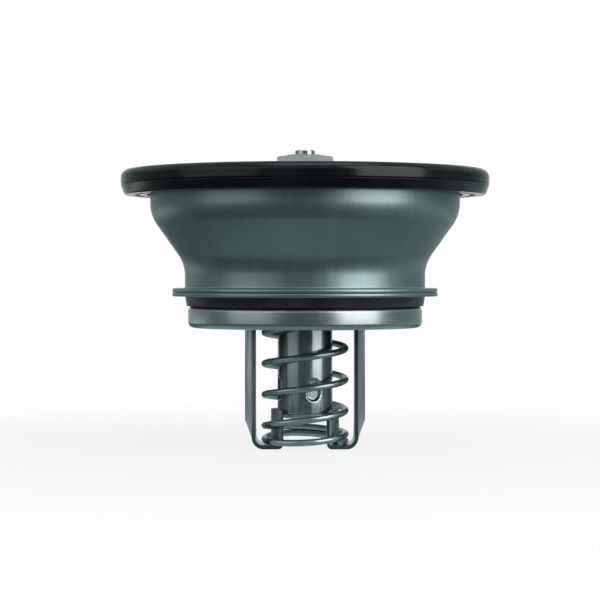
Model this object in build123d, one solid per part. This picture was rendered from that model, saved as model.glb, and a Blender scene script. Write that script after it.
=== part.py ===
from build123d import *
from math import atan, degrees, radians, tan
import os

# Engine thermostat with a sliding sleeve valve. Millimetres, +Z up.
# It stands on its two feet. The origin lies on the axis at the level of the feet,
# the legs stand at -X and +X, and the bridge over the top runs along Y.

# Sleeve: a drawn tube that slides through the neck of the housing
BAND_RADIUS = 35.0
BAND_BOTTOM = 36.0
BAND_HEIGHT = 5.2
BAND_STEP = 0.8
JOGGLE_HEIGHT = 1.0
SLEEVE_SHEET = 1.0
SLEEVE_LIP = 3.0
SLEEVE_CORNER = 1.3
LIFT = 8.0

# Housing: one deep-drawn sheet, from the neck flange up to the mounting flange
HOUSING_SHEET = 1.2
NECK_CLEARANCE = 0.5
NECK_BOTTOM = 46.55
NECK_FLANGE_WIDTH = 3.7
NECK_FLANGE_BEND = 1.2
NECK_HEIGHT = 8.0
NECK_BEND = 10.6
CONE_HEIGHT = 14.55
CONE_SPREAD = 10.35
SHOULDER_BEND = 9.4
WALL_HEIGHT = 9.6
FLANGE_WIDTH = 6.75
FLANGE_BEND = 1.6
EDGE_ROUND_SHARE = 0.4

# Rubber ring that grips the mounting flange
GASKET_OVERHANG = 2.0
GASKET_ABOVE = 3.15
GASKET_BELOW = 3.2
GASKET_GRIP = 5.6
GASKET_CROWN_ROUND = 2.4
GASKET_FOOT_ROUND = 0.8
GASKET_TAPER = 1.1
PARTING_HEIGHT = 0.25
PARTING_DEPTH = 0.3
SEAL_GROOVE_WIDTH = 1.6
SEAL_GROOVE_DEPTH = 0.45
GASKET_FIT = 0.05

# Neck seal: a steel carrier under the neck flange, with a rubber lip bonded into it
CARRIER_SHEET = 1.2
CARRIER_OVERHANG = 0.1
CARRIER_WIDTH = 3.3
LIP_DROP = 2.95
LIP_CLEARANCE = 0.3
LIP_THICKNESS = 1.4
LIP_TAPER = 0.5
LIP_RELIEF = 0.35
LIP_RELIEF_DEPTH = 1.0

# Bridge: a strap over the top that holds the piston pin
BRIDGE_WIDTH = 16.6
BRIDGE_SHEET = 1.5
BRIDGE_RISE = 5.9
BRIDGE_FLAT = 22.0
BRIDGE_BEND = 9.0
BOSS_RADIUS = 6.4
BOSS_RISE = 0.4
BOSS_SLOPE = 1.6
TAB_CLEARANCE = 0.05
TAB_MARGIN = 0.3

# Piston pin
PIN_RADIUS = 2.95
PIN_NUB = 1.3
PIN_CHAMFER = 0.4
PIN_SHOULDER_RADIUS = 4.6
PIN_SHOULDER_HEIGHT = 2.0
PIN_TIP_TAPER = 2.0
PIN_TIP_RADIUS = 2.2
PIN_HOLE_FIT = 0.03

# Fixed valve seat: a dished plate with a turned-down rim round a rubber ring
SEAT_PLATE_SHEET = 1.5
SEAT_DISH_RISE = 1.5
SEAT_DISH_WIDTH = 5.6
SEAT_BEND = 1.5
SEAT_RIM_SHEET = 1.1
SEAT_RIM_DROP = 0.9
SEAT_RING_HEIGHT = 1.2
SEAT_RING_INSIDE = 0.9
SEAT_RING_OUTSIDE = 1.0
SEAT_CLEARANCE = 0.05
SLEEVE_TUBE_HEIGHT = 29.15

# Guide bush, pressed into the seat plate round the neck of the wax element
BUSH_WALL = 2.4
BUSH_FLANGE_WIDTH = 2.4
BUSH_FLANGE_HEIGHT = 1.3
BUSH_HEIGHT = 6.4
BUSH_FIT = 0.02

# Arms that carry the seat plate from the wall of the housing, and their rivets
ARM_WIDTH = 14.0
ARM_SHEET = 1.5
ARM_FOOT_LENGTH = 7.6
ARM_RISE = 4.6
ARM_BEND = 3.0
RIVET_RADIUS = 1.6
RIVET_HEAD_RADIUS = 2.7
RIVET_HEAD_HEIGHT = 1.1
RIVET_SPACING = 8.0
RIVET_FIT = 0.02

# Legs: gutter-section straps from the seat plate down to the J-shaped feet
LEG_WIDTH = 13.5
LEG_SHEET = 1.1
LEG_CROWN = 2.2
LEG_EDGE_DISTANCE = 15.8
LEG_HOOK_WIDTH = 8.0
HOOK_GAP = 0.4
LEG_SLOT_FIT = 0.15
FOOT_BEND = 3.5
GUTTER_RUNOUT = 5.0
RUNOUT_CROWN = 0.3
RUNOUT_STEPS = 3
BEND_STEPS = 6
FOOT_TAB_GAP = 0.9
FOOT_TAB_HEIGHT = 11.6

# Return spring
WIRE_RADIUS = 1.0
COIL_RADIUS = 12.1
OPEN_TURNS = 3.6
FLAT_TURNS = 0.64
FLAT_RISE = 0.4
RUN_TURNS = 0.75
RUN_PITCH = 5.85
SPRING_START = 40.0

# Wax element
CAPSULE_RADIUS = 8.2
GROUND_GAP = 1.0
CAPSULE_WALL = 1.4
CAPSULE_ROUND = 1.8
DIMPLE_COUNT = 4
DIMPLE_TURN = 15.0
DIMPLE_HEIGHT = 7.2
DIMPLE_WIDTH = 4.2
DIMPLE_DEPTH = 0.7
DIMPLE_RISE = 8.6
COLLAR_WIDTH = 2.4
COLLAR_ROUND = 0.6
CRIMP_SHEET = 1.0
GUIDE_NECK_RADIUS = 6.0
GUIDE_NECK_HEIGHT = 26.6
GUIDE_FLANGE_HEIGHT = 1.5
GUIDE_PLUG_HEIGHT = 3.5
GUIDE_FIT = 0.05
WAX_POOL = 11.5
BOOT_WALL = 1.6
BOOT_FLANGE_HEIGHT = 1.6
BOOT_END_GAP = 1.2
BACKUP_HEIGHT = 1.5
BACKUP_WIDTH = 1.9
WIPER_RADIUS = 0.75
WIPER_SINK = 0.75
PART_FIT = 0.04

# Spider: the windowed disc that ties the sleeve to the wax element, and the spring cup
SPIDER_SHEET = 1.5
SPIDER_RISE = 10.8
SPIDER_HUB_RADIUS = 14.0
SPIDER_RIM_WIDTH = 3.2
SPIDER_RIM_HEIGHT = 4.5
SPOKE_WIDTH = 8.0
SPOKE_TURNS = (45.0, 135.0)
WINDOW_ROUND = 1.5
SPIDER_HOLE_FIT = 0.1
CUP_SHEET = 1.2
CUP_SKIRT = 2.2
CUP_MARGIN = 0.3

# How far a cutting shape reaches past the piece that it cuts, and how near two places count as one
CUT_REACH = 3.0
SAME_PLACE = 0.01

# Radii that follow from the sleeve outwards
tube_radius = BAND_RADIUS - BAND_STEP
neck_inner = tube_radius + NECK_CLEARANCE
neck_outer = neck_inner + HOUSING_SHEET
wall_outer = neck_outer + CONE_SPREAD
wall_inner = wall_outer - HOUSING_SHEET
flange_radius = wall_outer + FLANGE_WIDTH
gasket_radius = flange_radius + GASKET_OVERHANG
neck_flange_radius = neck_outer + NECK_FLANGE_WIDTH

# Levels of the housing, as the middle of its sheet
neck_flange_level = NECK_BOTTOM + HOUSING_SHEET / 2
cone_foot = neck_flange_level + NECK_HEIGHT
shoulder = cone_foot + CONE_HEIGHT
flange_level = shoulder + WALL_HEIGHT
flange_top = flange_level + HOUSING_SHEET / 2
flange_underside = flange_level - HOUSING_SHEET / 2
cone_angle = degrees(atan(CONE_SPREAD / CONE_HEIGHT))
wall_starts = shoulder + SHOULDER_BEND * tan(radians(cone_angle / 2))
tab_bottom = wall_starts + TAB_MARGIN
tab_outer = wall_inner - TAB_CLEARANCE

# Levels of the bridge and the pin
bridge_underside = flange_top + BRIDGE_RISE
bridge_top = bridge_underside + BRIDGE_SHEET
boss_top = bridge_top + BOSS_RISE
pin_top = boss_top + PIN_NUB

# Levels of the valve seat
sleeve_top = BAND_BOTTOM + SLEEVE_TUBE_HEIGHT
seat_ring_bottom = sleeve_top + SEAT_CLEARANCE
seat_rim_underside = seat_ring_bottom + SEAT_RING_HEIGHT
seat_rim_level = seat_rim_underside + SEAT_PLATE_SHEET / 2
dish_level = seat_rim_level + SEAT_DISH_RISE
dish_top = dish_level + SEAT_PLATE_SHEET / 2
dish_underside = dish_level - SEAT_PLATE_SHEET / 2
seat_ring_inner = tube_radius - SLEEVE_SHEET - SEAT_RING_INSIDE
seat_ring_outer = tube_radius + SEAT_RING_OUTSIDE
seat_rim_outer = seat_ring_outer + SEAT_RIM_SHEET
dish_radius = seat_ring_outer - SEAT_DISH_WIDTH

# Levels of the wax element, which hangs from the hub of the spider
spider_level = BAND_BOTTOM + SPIDER_RISE
spider_top = spider_level + SPIDER_SHEET
guide_seat = spider_top + CRIMP_SHEET
collar_top = guide_seat + GUIDE_FLANGE_HEIGHT + CRIMP_SHEET
collar_radius = CAPSULE_RADIUS + COLLAR_WIDTH
guide_bottom = guide_seat - GUIDE_PLUG_HEIGHT
guide_top = collar_top + GUIDE_NECK_HEIGHT
cavity_radius = CAPSULE_RADIUS - CAPSULE_WALL
capsule_bottom = LIFT + GROUND_GAP
guide_bore = PIN_RADIUS + GUIDE_FIT
boot_bottom = capsule_bottom + CAPSULE_WALL + WAX_POOL
pin_tip = boot_bottom + BOOT_WALL + BOOT_END_GAP
bush_bore = GUIDE_NECK_RADIUS + GUIDE_FIT
bush_outer = bush_bore + BUSH_WALL

# Levels of the spring
cup_underside = spider_level - CUP_SHEET
foot_top = LEG_SHEET


def ring_from_sheet(points, bends, thickness):
    """A turned sheet: the middle line of its section, thickened and spun round the axis."""
    section = trace(FilletPolyline(*points, radius=bends), thickness)
    return revolve(Plane.XZ * section, Axis.Z)


def ring_from_outline(points):
    """A turned solid piece from the corners of its section."""
    return revolve(Plane.XZ * make_face(Polyline(*points, close=True)), Axis.Z)


def plain_ring(inner, outer, bottom, top):
    """A flat ring or a straight bush between two levels."""
    section = Pos((inner + outer) / 2, (bottom + top) / 2) * Rectangle(outer - inner, top - bottom)
    return revolve(Plane.XZ * section, Axis.Z)


def wall_tab(width, sheet, top):
    """The end of a strap, curved to lie flat on the inside of the housing wall, at +X."""
    ring = plain_ring(tab_outer - sheet, tab_outer, tab_bottom, top)
    return ring & Box(
        tab_outer * CUT_REACH, width, top * CUT_REACH, align=(Align.MIN, Align.CENTER, Align.CENTER)
    )


def circles_at(shape, radius, level):
    """The round edges of a turned piece that lie at one radius and one level."""
    return [
        edge
        for edge in shape.edges().filter_by(GeomType.CIRCLE)
        if abs(edge.radius - radius) < SAME_PLACE and abs(edge.arc_center.Z - level) < SAME_PLACE
    ]


def make_bell_housing():
    middle = HOUSING_SHEET / 2
    points = [
        (neck_flange_radius, neck_flange_level),
        (neck_inner + middle, neck_flange_level),
        (neck_inner + middle, cone_foot),
        (wall_inner + middle, shoulder),
        (wall_inner + middle, flange_level),
        (flange_radius, flange_level),
    ]
    bends = [NECK_FLANGE_BEND, NECK_BEND, SHOULDER_BEND, FLANGE_BEND]
    bell = ring_from_sheet(points, bends, HOUSING_SHEET)
    edge_round = HOUSING_SHEET * EDGE_ROUND_SHARE
    lower = circles_at(bell, neck_flange_radius, NECK_BOTTOM)
    upper = circles_at(bell, neck_flange_radius, NECK_BOTTOM + HOUSING_SHEET)
    return fillet(lower + upper, edge_round)


def make_flange_gasket():
    inner = flange_radius + GASKET_FIT - GASKET_GRIP
    top = flange_top + GASKET_ABOVE
    bottom = flange_underside - GASKET_BELOW
    parting = flange_level - HOUSING_SHEET / 2
    waist = gasket_radius - PARTING_DEPTH
    body = Polyline(
        (inner, bottom),
        (gasket_radius - GASKET_TAPER, bottom),
        (gasket_radius, parting - PARTING_HEIGHT),
        (waist, parting),
        (gasket_radius, parting + PARTING_HEIGHT),
        (gasket_radius, top),
        (inner, top),
        close=True,
    )
    section = make_face(body)
    corners = section.vertices()
    crown = corners.sort_by_distance((gasket_radius, top))[0]
    section = fillet(crown, GASKET_CROWN_ROUND)
    foot = section.vertices().sort_by_distance((gasket_radius - GASKET_TAPER, bottom))[0]
    section = fillet(foot, GASKET_FOOT_ROUND)
    middle = (inner + flange_radius) / 2
    pocket = Pos(flange_radius + GASKET_FIT, flange_level) * Rectangle(
        GASKET_GRIP * 2, HOUSING_SHEET, align=(Align.MAX, Align.CENTER)
    )
    groove = Rectangle(SEAL_GROOVE_WIDTH, SEAL_GROOVE_DEPTH * 2)
    section = section - pocket - Pos(middle, top) * groove - Pos(middle, bottom) * groove
    return revolve(Plane.XZ * section, Axis.Z)


def make_seal_carrier():
    outer = neck_flange_radius + CARRIER_OVERHANG
    bottom = NECK_BOTTOM - CARRIER_SHEET
    carrier = plain_ring(outer - CARRIER_WIDTH, outer, bottom, NECK_BOTTOM)
    rim = circles_at(carrier, outer, bottom) + circles_at(carrier, outer, NECK_BOTTOM)
    return fillet(rim, CARRIER_SHEET * EDGE_ROUND_SHARE)


def make_lip_seal():
    carrier_inner = neck_flange_radius + CARRIER_OVERHANG - CARRIER_WIDTH
    carrier_bottom = NECK_BOTTOM - CARRIER_SHEET
    lip_bottom = carrier_bottom - LIP_DROP
    lip_inner = tube_radius + LIP_CLEARANCE
    lip_outer = lip_inner + LIP_THICKNESS
    return ring_from_outline(
        [
            (lip_inner, lip_bottom),
            (lip_outer - LIP_TAPER, lip_bottom),
            (lip_outer, carrier_bottom),
            (carrier_inner, carrier_bottom),
            (carrier_inner, NECK_BOTTOM),
            (lip_inner + LIP_RELIEF, NECK_BOTTOM),
            (lip_inner + LIP_RELIEF, carrier_bottom),
            (lip_inner, carrier_bottom - LIP_RELIEF_DEPTH),
        ]
    )


def make_bridge():
    half = tab_outer - BRIDGE_SHEET / 2
    tab_top = flange_level
    level = bridge_underside + BRIDGE_SHEET / 2
    points = [
        (-half, tab_top - BRIDGE_SHEET),
        (-half, tab_top),
        (-BRIDGE_FLAT / 2, level),
        (BRIDGE_FLAT / 2, level),
        (half, tab_top),
        (half, tab_top - BRIDGE_SHEET),
    ]
    end_bend = BRIDGE_SHEET / 2
    bends = [end_bend, BRIDGE_BEND, BRIDGE_BEND, end_bend]
    section = trace(FilletPolyline(*points, radius=bends), BRIDGE_SHEET)
    strap = extrude(Plane.XZ * section, BRIDGE_WIDTH / 2, both=True)
    strap &= Cylinder(tab_outer, pin_top * CUT_REACH)
    for turn in (0, 180):
        strap += Rot(0, 0, turn) * wall_tab(BRIDGE_WIDTH, BRIDGE_SHEET, tab_top - BRIDGE_SHEET / 2)
    boss = ring_from_outline(
        [
            (0, bridge_top),
            (BOSS_RADIUS, bridge_top),
            (BOSS_RADIUS - BOSS_SLOPE, boss_top),
            (0, boss_top),
        ]
    )
    strap = strap + boss - Cylinder(PIN_RADIUS + PIN_HOLE_FIT, pin_top * CUT_REACH)
    return Rot(0, 0, 90) * strap


def make_piston_pin():
    shoulder_bottom = bridge_underside - PIN_SHOULDER_HEIGHT
    return ring_from_outline(
        [
            (0, pin_tip),
            (PIN_TIP_RADIUS, pin_tip),
            (PIN_RADIUS, pin_tip + PIN_TIP_TAPER),
            (PIN_RADIUS, shoulder_bottom),
            (PIN_SHOULDER_RADIUS, shoulder_bottom),
            (PIN_SHOULDER_RADIUS, bridge_underside),
            (PIN_RADIUS, bridge_underside),
            (PIN_RADIUS, pin_top - PIN_CHAMFER),
            (PIN_RADIUS - PIN_CHAMFER, pin_top),
            (0, pin_top),
        ]
    )


def leg_section(crown, width, sheet):
    """Section of a leg: a strip bowed outwards, with its outer side edges at x = 0."""
    half = width / 2
    if crown == 0:
        return Pos(-sheet / 2, 0) * Rectangle(sheet, width)
    outer = ThreePointArc((0, -half), (crown, 0), (0, half))
    inner = ThreePointArc((-sheet, half), (crown - sheet, 0), (-sheet, -half))
    side_a = Line((0, half), (-sheet, half))
    side_b = Line((-sheet, -half), (0, -half))
    return make_face([outer, side_a, inner, side_b])


def rivet_places():
    reach = dish_radius - RIVET_HEAD_RADIUS - SEAT_BEND
    return [(side * reach, way * RIVET_SPACING / 2) for side in (-1, 1) for way in (-1, 1)]


def make_seat_plate():
    rim_middle = seat_ring_outer + SEAT_RIM_SHEET / 2
    points = [
        (bush_outer + BUSH_FIT, dish_level),
        (dish_radius, dish_level),
        (dish_radius + SEAT_DISH_RISE, seat_rim_level),
        (rim_middle, seat_rim_level),
    ]
    plate = ring_from_sheet(points, [SEAT_BEND, SEAT_BEND], SEAT_PLATE_SHEET)
    skirt_bottom = seat_rim_underside - SEAT_RIM_DROP
    skirt_top = seat_rim_underside + SEAT_PLATE_SHEET
    plate += plain_ring(seat_ring_outer, seat_rim_outer, skirt_bottom, skirt_top)
    slot = leg_section(LEG_CROWN, LEG_WIDTH + LEG_SLOT_FIT * 2, LEG_SHEET + LEG_SLOT_FIT * 2)
    slot = Pos(LEG_EDGE_DISTANCE + LEG_SLOT_FIT, 0, dish_level) * slot
    slot = extrude(slot, SEAT_PLATE_SHEET, both=True)
    for turn in (0, 180):
        plate -= Rot(0, 0, turn) * slot
    for x, y in rivet_places():
        plate -= Pos(x, y, dish_level) * Cylinder(RIVET_RADIUS + RIVET_FIT, SEAT_PLATE_SHEET * 2)
    return plate


def make_seat_ring():
    return plain_ring(seat_ring_inner, seat_ring_outer, seat_ring_bottom, seat_rim_underside)


def make_guide_bush():
    bottom = dish_underside - (BUSH_HEIGHT - BUSH_FLANGE_HEIGHT - SEAT_PLATE_SHEET)
    flange = bush_outer + BUSH_FLANGE_WIDTH
    return ring_from_outline(
        [
            (bush_bore, bottom),
            (bush_outer, bottom),
            (bush_outer, dish_top),
            (flange, dish_top),
            (flange, dish_top + BUSH_FLANGE_HEIGHT),
            (bush_bore, dish_top + BUSH_FLANGE_HEIGHT),
        ]
    )


def make_seat_arm():
    """The arm at +X: riveted to the dish, rising outwards to a tab on the housing wall."""
    level = dish_top + ARM_SHEET / 2
    foot_end = dish_radius
    end = tab_outer - ARM_SHEET / 2
    tab_level = level + ARM_RISE
    points = [
        (foot_end - ARM_FOOT_LENGTH, level),
        (foot_end, level),
        (end, tab_level),
        (end, tab_level + ARM_SHEET),
    ]
    section = trace(FilletPolyline(*points, radius=[ARM_BEND, ARM_SHEET / 2]), ARM_SHEET)
    arm = extrude(Plane.XZ * section, ARM_WIDTH / 2, both=True)
    arm &= Cylinder(tab_outer, pin_top * CUT_REACH)
    arm += wall_tab(ARM_WIDTH, ARM_SHEET, flange_level - ARM_SHEET / 2)
    for x, y in rivet_places():
        arm -= Pos(x, y, level) * Cylinder(RIVET_RADIUS + RIVET_FIT, ARM_SHEET * 2)
    return arm


def make_arm_rivets():
    bottom = dish_underside
    top = dish_top + ARM_SHEET
    head = RIVET_HEAD_RADIUS
    shank = Pos(0, 0, (bottom + top) / 2) * Cylinder(RIVET_RADIUS, top - bottom)
    dome = (head**2 + RIVET_HEAD_HEIGHT**2) / (2 * RIVET_HEAD_HEIGHT)
    cap = Pos(0, 0, RIVET_HEAD_HEIGHT - dome) * Sphere(dome)
    cap &= Pos(0, 0, RIVET_HEAD_HEIGHT) * Box(head * CUT_REACH, head * CUT_REACH, RIVET_HEAD_HEIGHT * 2)
    rivet = shank + Pos(0, 0, top) * cap + Pos(0, 0, bottom) * Rot(180, 0, 0) * cap
    return Compound([Pos(x, y, 0) * rivet for x, y in rivet_places()])


def make_leg():
    """The leg at +X, from its hook over the seat plate down to the tab round the capsule."""
    straight_from = FOOT_BEND + GUTTER_RUNOUT
    hook_top = dish_top + LEG_SHEET
    gutter = leg_section(LEG_CROWN, LEG_WIDTH, LEG_SHEET)
    leg = extrude(Pos(LEG_EDGE_DISTANCE, 0, straight_from) * gutter, hook_top - straight_from)
    hook_start = LEG_EDGE_DISTANCE - LEG_SHEET
    hook_end = dish_radius - ARM_FOOT_LENGTH - HOOK_GAP
    leg += Pos((hook_start + LEG_CROWN + hook_end) / 2, 0, dish_top + LEG_SHEET / 2) * Box(
        hook_end - hook_start - LEG_CROWN, LEG_HOOK_WIDTH, LEG_SHEET
    )
    bend_x = LEG_EDGE_DISTANCE - FOOT_BEND
    sections = []
    for step in range(RUNOUT_STEPS):
        share = step / RUNOUT_STEPS
        crown = LEG_CROWN + (RUNOUT_CROWN - LEG_CROWN) * share
        level = straight_from - GUTTER_RUNOUT * share
        sections.append(Pos(LEG_EDGE_DISTANCE, 0, level) * leg_section(crown, LEG_WIDTH, LEG_SHEET))
    for step in range(BEND_STEPS + 1):
        share = step / BEND_STEPS
        place = Pos(bend_x, 0, FOOT_BEND) * Rot(0, 90 * share, 0) * Pos(FOOT_BEND, 0, 0)
        sections.append(place * leg_section(RUNOUT_CROWN * (1 - share), LEG_WIDTH, LEG_SHEET))
    leg += loft(sections, ruled=True)
    tab_inner = CAPSULE_RADIUS + FOOT_TAB_GAP
    foot = Pos(0, 0, LEG_SHEET / 2) * Box(
        bend_x, LEG_WIDTH, LEG_SHEET, align=(Align.MIN, Align.CENTER, Align.CENTER)
    )
    foot -= Cylinder(tab_inner, LEG_SHEET * CUT_REACH)
    tab = plain_ring(tab_inner, tab_inner + LEG_SHEET, 0, FOOT_TAB_HEIGHT)
    tab &= Box(
        tab_inner * CUT_REACH,
        LEG_WIDTH,
        FOOT_TAB_HEIGHT * CUT_REACH,
        align=(Align.MIN, Align.CENTER, Align.CENTER),
    )
    return leg + foot + tab


def make_return_spring():
    """Open coil spring: each end lies flat, then runs out through a finer pitch to the open turns."""
    bottom = foot_top + WIRE_RADIUS
    top = cup_underside - WIRE_RADIUS
    run_rise = RUN_PITCH * RUN_TURNS
    open_rise = top - bottom - 2 * (FLAT_RISE + run_rise)
    flat_end = (Helix(FLAT_RISE / FLAT_TURNS, FLAT_RISE, COIL_RADIUS), FLAT_RISE, FLAT_TURNS)
    run_out = (Helix(RUN_PITCH, run_rise, COIL_RADIUS), run_rise, RUN_TURNS)
    open_coil = (Helix(open_rise / OPEN_TURNS, open_rise, COIL_RADIUS), open_rise, OPEN_TURNS)
    coils = []
    turn = SPRING_START
    level = bottom
    for line, rise, turns in (flat_end, run_out, open_coil, run_out, flat_end):
        section = Plane(line @ 0, z_dir=line % 0) * Circle(WIRE_RADIUS)
        coil = sweep(section, line, is_frenet=True)
        coils.append(Pos(0, 0, level) * Rot(0, 0, turn) * coil)
        level += rise
        turn += 360.0 * turns
    return coils[0] + coils[1:]


def make_sleeve():
    middle = SLEEVE_SHEET / 2
    band = BAND_RADIUS - middle
    tube = tube_radius - middle
    joggle = BAND_BOTTOM + BAND_HEIGHT
    points = [
        (band - SLEEVE_LIP, BAND_BOTTOM + middle),
        (band, BAND_BOTTOM + middle),
        (band, joggle),
        (tube, joggle + JOGGLE_HEIGHT),
        (tube, sleeve_top),
    ]
    bends = [SLEEVE_CORNER, JOGGLE_HEIGHT, JOGGLE_HEIGHT]
    return ring_from_sheet(points, bends, SLEEVE_SHEET)


def make_spider():
    outer = tube_radius - SLEEVE_SHEET - PART_FIT
    window_outer = outer - SPIDER_RIM_WIDTH
    disc = Circle(outer) - Circle(CAPSULE_RADIUS + SPIDER_HOLE_FIT)
    windows = Circle(window_outer) - Circle(SPIDER_HUB_RADIUS)
    for turn in SPOKE_TURNS:
        windows -= Rot(0, 0, turn) * Rectangle(window_outer * CUT_REACH, SPOKE_WIDTH)
    windows = fillet(windows.vertices(), WINDOW_ROUND)
    disc = extrude(Pos(0, 0, spider_level) * (disc - windows), SPIDER_SHEET)
    rim = plain_ring(outer - SPIDER_SHEET, outer, spider_level, spider_level + SPIDER_RIM_HEIGHT)
    return disc + rim


def make_spring_cup():
    skirt_inner = COIL_RADIUS + WIRE_RADIUS + CUP_MARGIN
    inner = CAPSULE_RADIUS + SPIDER_HOLE_FIT
    return ring_from_outline(
        [
            (inner, cup_underside),
            (skirt_inner, cup_underside),
            (skirt_inner, cup_underside - CUP_SKIRT),
            (skirt_inner + CUP_SHEET / 2, cup_underside - CUP_SKIRT),
            (skirt_inner + CUP_SHEET / 2, spider_level),
            (inner, spider_level),
        ]
    )


def make_capsule():
    crimp_inner = GUIDE_NECK_RADIUS + COLLAR_WIDTH / 2
    flange = collar_radius - CRIMP_SHEET
    cup = ring_from_outline(
        [
            (0, capsule_bottom),
            (CAPSULE_RADIUS, capsule_bottom),
            (CAPSULE_RADIUS, spider_top),
            (collar_radius, spider_top),
            (collar_radius, collar_top),
            (crimp_inner, collar_top),
            (crimp_inner, collar_top - CRIMP_SHEET),
            (flange, collar_top - CRIMP_SHEET),
            (flange, guide_seat),
            (cavity_radius, guide_seat),
            (cavity_radius, capsule_bottom + CAPSULE_WALL),
            (0, capsule_bottom + CAPSULE_WALL),
        ]
    )
    cup = fillet(circles_at(cup, CAPSULE_RADIUS, capsule_bottom), CAPSULE_ROUND)
    collar = circles_at(cup, collar_radius, spider_top) + circles_at(cup, collar_radius, collar_top)
    cup = fillet(collar, COLLAR_ROUND)
    level = capsule_bottom + DIMPLE_RISE
    press = Plane.YZ.offset(CAPSULE_RADIUS - DIMPLE_DEPTH) * Pos(0, level) * SlotOverall(
        DIMPLE_HEIGHT, DIMPLE_WIDTH, rotation=90
    )
    press = extrude(press, CAPSULE_RADIUS)
    for number in range(DIMPLE_COUNT):
        cup -= Rot(0, 0, DIMPLE_TURN + number * 360 / DIMPLE_COUNT) * press
    return cup


def make_guide_body():
    plug = cavity_radius - PART_FIT
    flange = collar_radius - CRIMP_SHEET - PART_FIT
    flange_level_top = guide_seat + GUIDE_FLANGE_HEIGHT
    groove = guide_bore + 2 * WIPER_RADIUS
    wiper_floor = guide_top - WIPER_SINK - 2 * WIPER_RADIUS
    return ring_from_outline(
        [
            (guide_bore + BACKUP_WIDTH, guide_bottom),
            (plug, guide_bottom),
            (plug, guide_seat),
            (flange, guide_seat),
            (flange, flange_level_top),
            (GUIDE_NECK_RADIUS, flange_level_top),
            (GUIDE_NECK_RADIUS, guide_top),
            (groove, guide_top),
            (groove, wiper_floor),
            (guide_bore, wiper_floor),
            (guide_bore, guide_bottom + BACKUP_HEIGHT),
            (guide_bore + BACKUP_WIDTH, guide_bottom + BACKUP_HEIGHT),
        ]
    )


def make_backup_disc():
    outer = guide_bore + BACKUP_WIDTH - PART_FIT
    return plain_ring(guide_bore, outer, guide_bottom, guide_bottom + BACKUP_HEIGHT)


def make_rubber_boot():
    outer = guide_bore + BOOT_WALL
    flange = cavity_radius - PART_FIT
    flange_bottom = guide_bottom - BOOT_FLANGE_HEIGHT
    return ring_from_outline(
        [
            (0, boot_bottom),
            (outer, boot_bottom),
            (outer, flange_bottom),
            (flange, flange_bottom),
            (flange, guide_bottom),
            (guide_bore, guide_bottom),
            (guide_bore, boot_bottom + BOOT_WALL),
            (0, boot_bottom + BOOT_WALL),
        ]
    )


def make_wax_charge():
    outer = cavity_radius - PART_FIT
    boot_outer = guide_bore + BOOT_WALL + PART_FIT
    top = guide_bottom - BOOT_FLANGE_HEIGHT - PART_FIT
    floor = capsule_bottom + CAPSULE_WALL + PART_FIT
    well = boot_bottom - PART_FIT
    return ring_from_outline(
        [(0, floor), (outer, floor), (outer, top), (boot_outer, top), (boot_outer, well), (0, well)]
    )


def make_wiper_ring():
    middle = guide_bore + WIPER_RADIUS
    level = guide_top - WIPER_SINK - WIPER_RADIUS
    section = Pos(middle, level) * Circle(WIPER_RADIUS - PART_FIT)
    return revolve(Plane.XZ * section, Axis.Z)


arm = make_seat_arm()
leg = make_leg()
half_turn = Rot(0, 0, 180)
nodes = {
    "bell_housing": make_bell_housing(),
    "flange_gasket": make_flange_gasket(),
    "seal_carrier": make_seal_carrier(),
    "lip_seal": make_lip_seal(),
    "bridge": make_bridge(),
    "piston_pin": make_piston_pin(),
    "seat_plate": make_seat_plate(),
    "seat_ring": make_seat_ring(),
    "guide_bush": make_guide_bush(),
    "seat_arm_right": arm,
    "seat_arm_left": half_turn * arm,
    "arm_rivets": make_arm_rivets(),
    "leg_right": leg,
    "leg_left": half_turn * leg,
    "return_spring": make_return_spring(),
    "sleeve": make_sleeve(),
    "spider": make_spider(),
    "spring_cup": make_spring_cup(),
    "capsule": make_capsule(),
    "guide_body": make_guide_body(),
    "backup_disc": make_backup_disc(),
    "rubber_boot": make_rubber_boot(),
    "wax_charge": make_wax_charge(),
    "wiper_ring": make_wiper_ring(),
}

os.makedirs("parts", exist_ok=True)
for name, shape in nodes.items():
    export_step(shape, f"parts/{name}.step")
    print(name, round(shape.volume))
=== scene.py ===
import math

import bpy
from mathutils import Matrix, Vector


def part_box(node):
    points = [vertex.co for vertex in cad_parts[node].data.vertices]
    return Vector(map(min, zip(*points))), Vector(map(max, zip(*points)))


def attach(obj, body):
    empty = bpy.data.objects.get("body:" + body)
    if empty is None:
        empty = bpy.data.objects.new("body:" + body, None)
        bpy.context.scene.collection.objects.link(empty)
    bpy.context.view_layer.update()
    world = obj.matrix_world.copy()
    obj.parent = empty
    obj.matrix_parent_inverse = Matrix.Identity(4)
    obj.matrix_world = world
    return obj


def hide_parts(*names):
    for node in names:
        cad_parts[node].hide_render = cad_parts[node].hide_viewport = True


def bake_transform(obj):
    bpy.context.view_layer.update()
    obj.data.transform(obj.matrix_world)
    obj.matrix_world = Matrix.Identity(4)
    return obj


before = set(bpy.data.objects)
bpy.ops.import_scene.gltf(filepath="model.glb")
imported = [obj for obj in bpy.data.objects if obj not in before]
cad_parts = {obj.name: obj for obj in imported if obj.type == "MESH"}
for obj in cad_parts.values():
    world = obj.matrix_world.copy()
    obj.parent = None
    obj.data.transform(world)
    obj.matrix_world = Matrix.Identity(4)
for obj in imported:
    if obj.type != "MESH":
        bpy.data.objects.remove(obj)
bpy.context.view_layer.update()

# Camera: level with the neck of the housing, as the photograph was taken, through a long lens.
# The frame is shifted down, because the horizon lies above the middle of the picture.
camera_distance = 0.620
camera_height = 0.05257
camera_side = -0.0015
lens_length = 124.2
frame_shift = -28 / 600
camera_data = bpy.data.cameras.new("studio_camera")
camera_data.lens = lens_length
camera_data.sensor_width = 36.0
camera_data.shift_y = frame_shift
camera_data.clip_start = 0.05
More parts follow.
